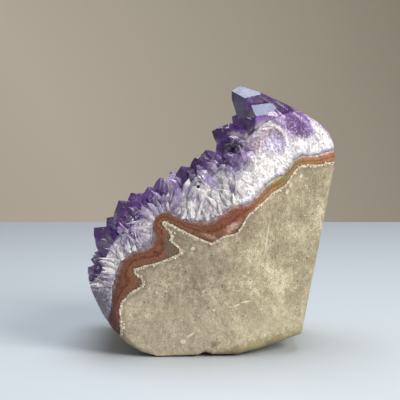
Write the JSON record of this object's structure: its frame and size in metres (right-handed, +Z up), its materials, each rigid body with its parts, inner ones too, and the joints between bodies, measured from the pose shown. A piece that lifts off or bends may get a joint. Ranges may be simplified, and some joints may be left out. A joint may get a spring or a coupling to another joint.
{
  "type": "amethyst cluster",
  "caption": "Amethyst cluster on its basalt, sawn flat to stand, with one polished side showing the layers in section.",
  "frame": {"origin": "middle of the resting face", "axes": "+Z up along the height; -Y towards the polished side that shows the layers; -X towards the side the crystals point to"},
  "size_m": [0.0933, 0.0642, 0.1],
  "materials": {
    "basalt": "fine-grained matte rock, sawn and lightly smoothed",
    "jasper": "polished, with fine bands",
    "quartz": "polished in section, sugary inside, milky",
    "amethyst": "clear crystal with natural bright faces"
  },
  "bodies": {
    "root": {"basalt_matrix": "basalt", "jasper_band": "jasper", "quartz_layer": "quartz", "broad_points": "amethyst", "comb_points": "amethyst", "corner_points": "amethyst", "crest_points": "amethyst", "saddle_points": "amethyst", "shoulder_points": "amethyst", "step_points": "amethyst", "toe_points": "amethyst", "druse_group_1_1": "amethyst", "druse_group_1_2": "amethyst", "druse_group_1_3": "amethyst", "druse_group_1_4": "amethyst", "druse_group_2_1": "amethyst", "druse_group_2_2": "amethyst", "druse_group_2_3": "amethyst", "druse_group_2_4": "amethyst", "druse_group_3_1": "amethyst", "druse_group_3_2": "amethyst", "druse_group_3_3": "amethyst", "druse_group_3_4": "amethyst", "druse_group_4_1": "amethyst", "druse_group_4_2": "amethyst", "druse_group_4_3": "amethyst", "druse_group_4_4": "amethyst", "druse_group_5_1": "amethyst", "druse_group_5_2": "amethyst", "druse_group_5_3": "amethyst", "druse_group_5_4": "amethyst", "druse_group_6_1": "amethyst", "druse_group_6_2": "amethyst", "druse_group_6_3": "amethyst", "druse_group_6_4": "amethyst", "druse_group_7_1": "amethyst", "druse_group_7_2": "amethyst", "druse_group_7_3": "amethyst", "druse_group_7_4": "amethyst"}
  },
  "joints": []
}
